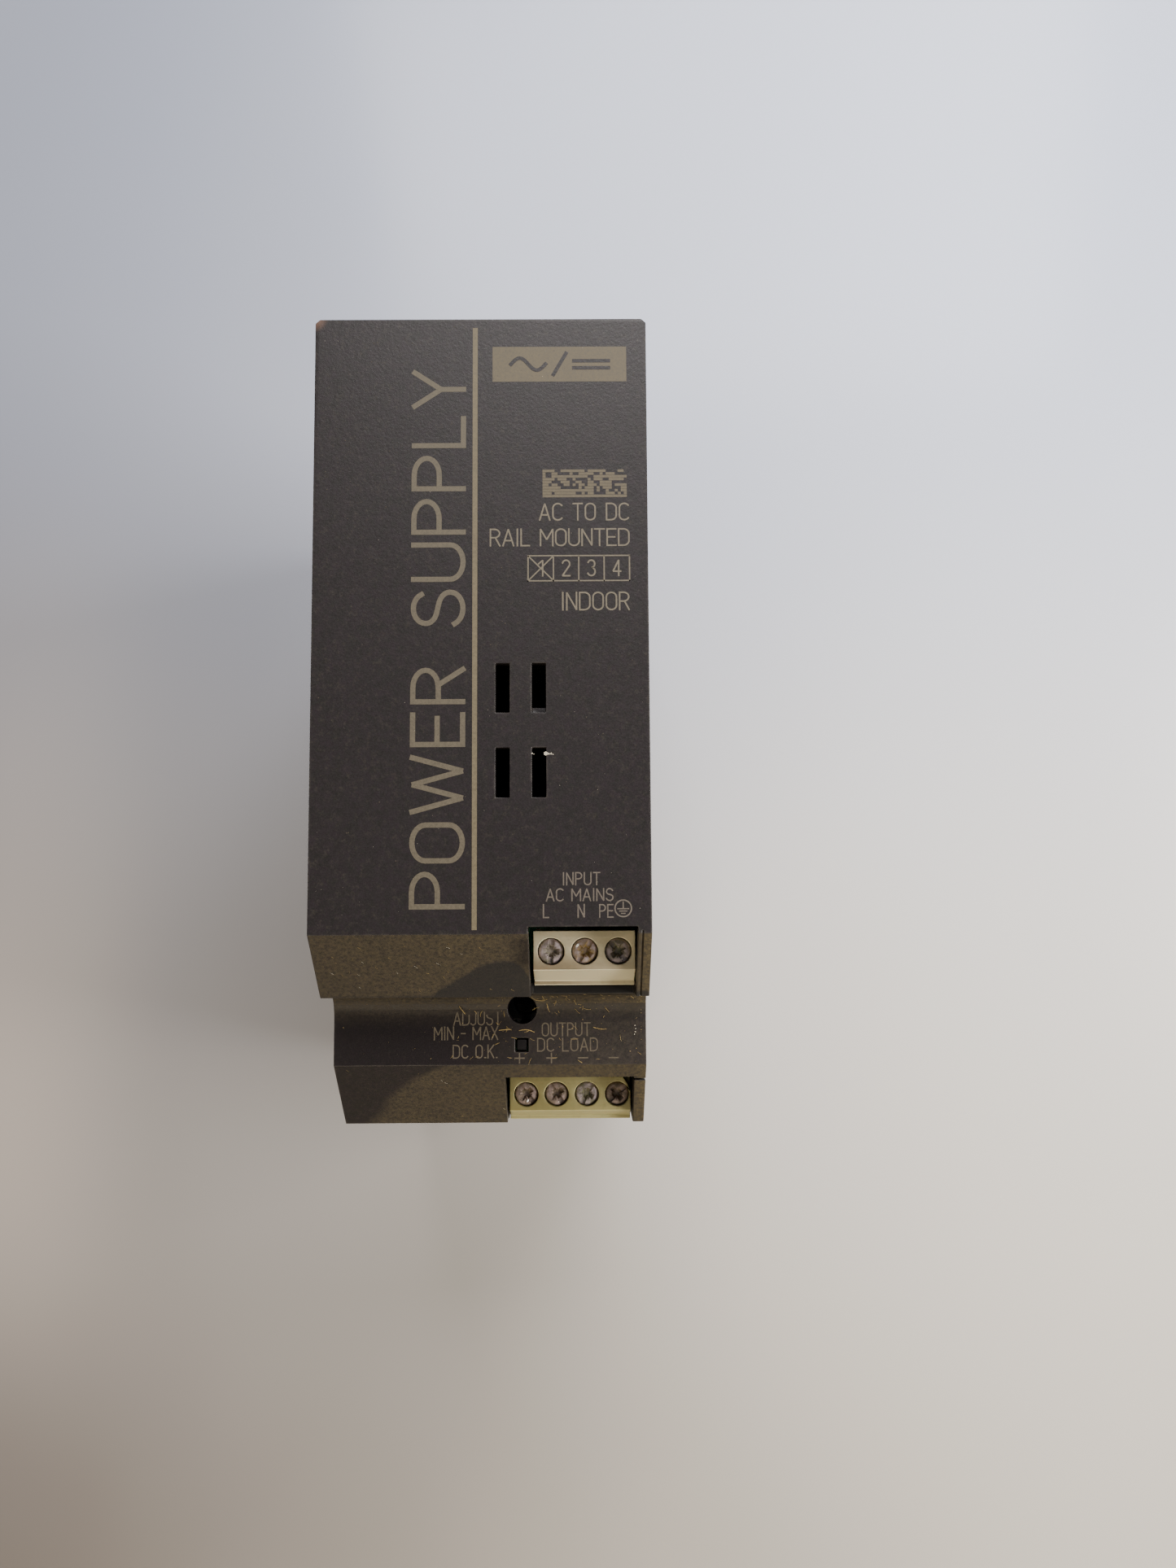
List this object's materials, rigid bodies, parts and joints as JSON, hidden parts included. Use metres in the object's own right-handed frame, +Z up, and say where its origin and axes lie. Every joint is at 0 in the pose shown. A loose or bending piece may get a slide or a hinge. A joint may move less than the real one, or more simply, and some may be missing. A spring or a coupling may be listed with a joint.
{
  "type": "din rail power supply",
  "caption": "Narrow plastic DIN rail power supply with stepped front, screw terminal blocks for input and output, vent slots, adjuster hole, status lamp and sprung rail latch.",
  "frame": {"origin": "centre of the flat face that rests on the DIN rail, on the rail's centre line", "axes": "+Z up, -Y towards the front face, +Y into the rail, +X to the right as seen from the front"},
  "size_m": [0.05, 0.12, 0.125],
  "materials": {
    "housing_plastic": "fine matt moulded texture",
    "input_block_plastic": "satin, lightly soiled",
    "output_block_plastic": "satin, yellowed",
    "screw_steel": "plated, dulled",
    "clamp_steel": "zinc plated",
    "spring_steel": "bright wire",
    "contact_brass": "tinned",
    "circuit_board": "solder resist, satin",
    "insulating_film": "thin film",
    "moulded_black": "moulded epoxy",
    "ferrite": "ground ferrite",
    "winding_tape": "polyester tape",
    "enamelled_copper": "enamelled wire",
    "capacitor_sleeve": "shrink sleeve",
    "film_capacitor": "moulded box",
    "disc_blue": "dipped coating",
    "disc_green": "dipped coating",
    "heatsink_aluminium": "extruded",
    "lamp_lens": "clear moulding, dark when off",
    "lamp_body": "tinted epoxy",
    "trimmer_body": "moulded",
    "trimmer_rotor": "moulded",
    "wire_brown": "insulated wire",
    "wire_blue": "insulated wire",
    "wire_green": "insulated wire"
  },
  "bodies": {
    "housing": {"front_housing": "housing_plastic", "side_cover": "housing_plastic", "rear_cover": "housing_plastic", "latch_spring": "spring_steel", "input_terminal_block": "input_block_plastic", "output_terminal_block": "output_block_plastic", "main_board": "circuit_board", "input_board": "circuit_board", "control_board": "circuit_board", "insulating_sheet": "insulating_film", "trimmer_body": "trimmer_body", "light_pipe": "lamp_lens", "status_lamp": "lamp_body", "bulk_capacitor_front": "capacitor_sleeve", "bulk_capacitor_rear": "capacitor_sleeve", "output_capacitor_1": "capacitor_sleeve", "output_capacitor_2": "capacitor_sleeve", "fuse": "moulded_black", "transformer_core": "ferrite", "transformer_winding": "winding_tape", "line_choke_core": "ferrite", "line_choke_winding": "enamelled_copper", "output_choke": "enamelled_copper", "x_capacitor": "film_capacitor", "bridge_rectifier": "moulded_black", "inrush_thermistor": "disc_green", "y_capacitor": "disc_blue", "control_chip": "moulded_black", "primary_heatsink": "heatsink_aluminium", "secondary_heatsink": "heatsink_aluminium", "power_transistor": "moulded_black", "output_diode": "moulded_black", "lead_line": "wire_brown", "lead_neutral": "wire_blue", "lead_earth": "wire_green", "input_contact_1": "contact_brass", "input_contact_2": "contact_brass", "input_contact_3": "contact_brass", "output_contact_1": "contact_brass", "output_contact_2": "contact_brass", "output_contact_3": "contact_brass", "output_contact_4": "contact_brass"},
    "rail_latch": {"rail_latch": "housing_plastic"},
    "trimmer_rotor": {"trimmer_rotor": "trimmer_rotor"},
    "input_screw_1": {"input_screw_1": "screw_steel"},
    "input_clamp_1": {"input_clamp_1": "clamp_steel"},
    "input_screw_2": {"input_screw_2": "screw_steel"},
    "input_clamp_2": {"input_clamp_2": "clamp_steel"},
    "input_screw_3": {"input_screw_3": "screw_steel"},
    "input_clamp_3": {"input_clamp_3": "clamp_steel"},
    "output_screw_1": {"output_screw_1": "screw_steel"},
    "output_clamp_1": {"output_clamp_1": "clamp_steel"},
    "output_screw_2": {"output_screw_2": "screw_steel"},
    "output_clamp_2": {"output_clamp_2": "clamp_steel"},
    "output_screw_3": {"output_screw_3": "screw_steel"},
    "output_clamp_3": {"output_clamp_3": "clamp_steel"},
    "output_screw_4": {"output_screw_4": "screw_steel"},
    "output_clamp_4": {"output_clamp_4": "clamp_steel"}
  },
  "joints": [
    {"name": "rail_latch_slide", "type": "slide", "parent": "housing", "child": "rail_latch", "axis": [0, 0, -1], "range_m": [0, 0.004], "stiffness_N_per_m": 2000, "springref_m": -0.004, "deforming": ["latch_spring"]},
    {"name": "output_voltage_adjust", "type": "hinge", "parent": "housing", "child": "trimmer_rotor", "pos_m": [0.00514, -0.0785, -0.0427], "axis": [0, 1, 0], "range_deg": [-80, 160]},
    {"name": "input_screw_1_turn", "type": "hinge", "parent": "housing", "child": "input_screw_1", "pos_m": [0.0101, -0.1066, -0.03299], "axis": [0, 1, 0], "range_deg": [0, 1801]},
    {"name": "input_clamp_1_lift", "type": "slide", "parent": "housing", "child": "input_clamp_1", "axis": [0, -1, 0], "range_m": [0, 0.0025]},
    {"name": "input_screw_2_turn", "type": "hinge", "parent": "housing", "child": "input_screw_2", "pos_m": [0.01518, -0.1066, -0.03299], "axis": [0, 1, 0], "range_deg": [0, 1801]},
    {"name": "input_clamp_2_lift", "type": "slide", "parent": "housing", "child": "input_clamp_2", "axis": [0, -1, 0], "range_m": [0, 0.0025]},
    {"name": "input_screw_3_turn", "type": "hinge", "parent": "housing", "child": "input_screw_3", "pos_m": [0.02026, -0.1066, -0.03299], "axis": [0, 1, 0], "range_deg": [0, 1801]},
    {"name": "input_clamp_3_lift", "type": "slide", "parent": "housing", "child": "input_clamp_3", "axis": [0, -1, 0], "range_m": [0, 0.0025]},
    {"name": "output_screw_1_turn", "type": "hinge", "parent": "housing", "child": "output_screw_1", "pos_m": [0.00529, -0.0836, -0.0578], "axis": [0, 1, 0], "range_deg": [0, 1801]},
    {"name": "output_clamp_1_lift", "type": "slide", "parent": "housing", "child": "output_clamp_1", "axis": [0, -1, 0], "range_m": [0, 0.0025]},
    {"name": "output_screw_2_turn", "type": "hinge", "parent": "housing", "child": "output_screw_2", "pos_m": [0.01037, -0.0836, -0.0578], "axis": [0, 1, 0], "range_deg": [0, 1801]},
    {"name": "output_clamp_2_lift", "type": "slide", "parent": "housing", "child": "output_clamp_2", "axis": [0, -1, 0], "range_m": [0, 0.0025]},
    {"name": "output_screw_3_turn", "type": "hinge", "parent": "housing", "child": "output_screw_3", "pos_m": [0.01545, -0.0836, -0.0578], "axis": [0, 1, 0], "range_deg": [0, 1801]},
    {"name": "output_clamp_3_lift", "type": "slide", "parent": "housing", "child": "output_clamp_3", "axis": [0, -1, 0], "range_m": [0, 0.0025]},
    {"name": "output_screw_4_turn", "type": "hinge", "parent": "housing", "child": "output_screw_4", "pos_m": [0.02053, -0.0836, -0.0578], "axis": [0, 1, 0], "range_deg": [0, 1801]},
    {"name": "output_clamp_4_lift", "type": "slide", "parent": "housing", "child": "output_clamp_4", "axis": [0, -1, 0], "range_m": [0, 0.0025]}
  ],
  "couplings": [
    {"joint": "input_screw_1_turn", "follows": "input_clamp_1_lift", "rad_per_m": 12566},
    {"joint": "input_screw_2_turn", "follows": "input_clamp_2_lift", "rad_per_m": 12566},
    {"joint": "input_screw_3_turn", "follows": "input_clamp_3_lift", "rad_per_m": 12566},
    {"joint": "output_screw_1_turn", "follows": "output_clamp_1_lift", "rad_per_m": 12566},
    {"joint": "output_screw_2_turn", "follows": "output_clamp_2_lift", "rad_per_m": 12566},
    {"joint": "output_screw_3_turn", "follows": "output_clamp_3_lift", "rad_per_m": 12566},
    {"joint": "output_screw_4_turn", "follows": "output_clamp_4_lift", "rad_per_m": 12566}
  ]
}
